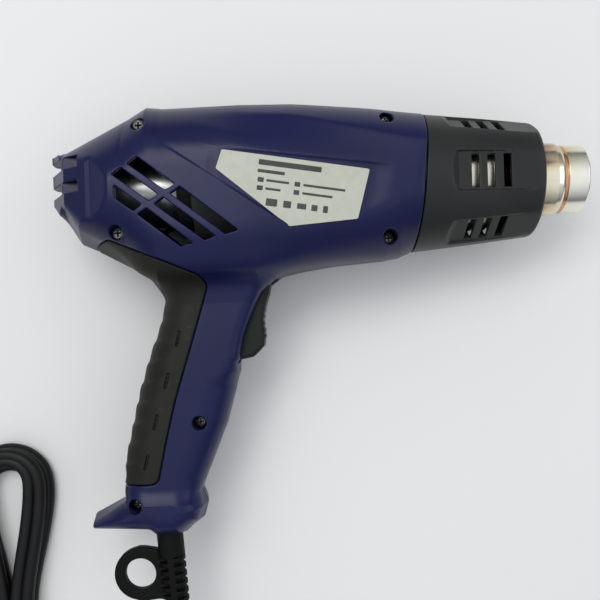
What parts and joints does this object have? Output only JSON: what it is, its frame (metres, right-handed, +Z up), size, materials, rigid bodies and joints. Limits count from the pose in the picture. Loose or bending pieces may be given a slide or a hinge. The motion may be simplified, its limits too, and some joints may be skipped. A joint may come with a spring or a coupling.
{
  "type": "heat gun",
  "caption": "Electric heat gun with a pistol grip, rocking trigger, slotted heat guard, steel outlet nozzle, hanging ring and mains cord, lying on its side.",
  "frame": {"origin": "bottom centre of the gun's box, on the surface that it lies on, without the free cord", "axes": "+X along the barrel to the nozzle, +Y from the handle to the top of the barrel, +Z up out of the gun's right side"},
  "size_m": [0.3801, 0.3934, 0.076],
  "materials": {
    "housing": "satin moulded nylon, navy blue, fine spark-eroded grain",
    "grip": "matt black overmoulded rubber",
    "guard": "matt black glass-filled nylon, fine grain",
    "label": "satin cream film label without print",
    "screw_steel": "zinc-plated steel",
    "nozzle_steel": "drawn stainless steel with straw heat tint",
    "bright_steel": "bright sheet steel",
    "mica": "pressed mica sheet",
    "ceramic": "unglazed cordierite ceramic",
    "heating_wire": "oxidised resistance wire",
    "motor_steel": "zinc-plated motor can",
    "motor_plastic": "natural nylon",
    "bush_bronze": "sintered bronze",
    "magnet": "dark ferrite",
    "laminations": "stacked steel laminations with copper windings",
    "fan_plastic": "black heat-resistant plastic",
    "duct_plastic": "natural heat-resistant plastic",
    "soft_rubber": "soft black rubber",
    "trigger_plastic": "matt black plastic",
    "switch_plastic": "black phenolic plastic",
    "board": "green circuit board",
    "component_black": "black epoxy",
    "film_yellow": "yellow film capacitor",
    "terminal_plastic": "white nylon",
    "lead_insulation": "blue silicone wire",
    "cord_rubber": "black rubber cord",
    "clamp_plastic": "black nylon",
    "tie": "black twist tie",
    "plug_pin": "nickel-plated brass"
  },
  "bodies": {
    "housing": {"housing_right": "housing", "housing_left": "housing", "grip_right": "grip", "grip_left": "grip", "heat_guard": "guard", "rating_label": "label", "housing_screws": "screw_steel", "nozzle": "nozzle_steel", "heat_shield": "bright_steel", "heater_flange": "bright_steel", "mica_sleeve": "mica", "heater_core": "ceramic", "heater_coils": "heating_wire", "thermal_fuse": "bright_steel", "motor_can": "motor_steel", "front_bush": "bush_bronze", "rear_bush": "bush_bronze", "motor_end_cap": "motor_plastic", "motor_magnets": "magnet", "brush_terminals": "plug_pin", "motor_mount": "duct_plastic", "motor_damper": "soft_rubber", "fan_duct": "duct_plastic", "trigger_pin": "screw_steel", "switch_body": "switch_plastic", "circuit_board": "board", "rectifier_diodes": "component_black", "capacitor": "film_yellow", "terminal_block": "terminal_plastic", "switch_leads": "lead_insulation", "motor_leads": "lead_insulation", "heater_leads": "lead_insulation", "strain_relief": "cord_rubber", "inner_cord": "cord_rubber", "cord_clamp": "clamp_plastic", "clamp_screws": "screw_steel", "power_cord": "cord_rubber", "cord_tail": "cord_rubber", "cord_hank": "cord_rubber", "cord_tie": "tie", "plug_body": "cord_rubber", "plug_pins": "plug_pin"},
    "rotor": {"armature": "laminations", "fan_impeller": "fan_plastic"},
    "trigger": {"trigger": "trigger_plastic"},
    "switch_plunger": {"switch_plunger": "switch_plastic"}
  },
  "joints": [
    {"name": "trigger_rock", "type": "hinge", "parent": "housing", "child": "trigger", "pos_m": [-0.0279, 0.04474, 0.038], "axis": [0, 0, -1], "range_deg": [0, 12]},
    {"name": "plunger_travel", "type": "slide", "parent": "housing", "child": "switch_plunger", "axis": [-1, 0, 0], "range_m": [0, 0.0072]},
    {"name": "rotor_spin", "type": "hinge", "parent": "housing", "child": "rotor", "pos_m": [-0.0734, 0.09324, 0.038], "axis": [1, 0, 0], "continuous": true}
  ],
  "couplings": [
    {"joint": "plunger_travel", "follows": "trigger_rock", "m_per_rad": 0.0337}
  ]
}
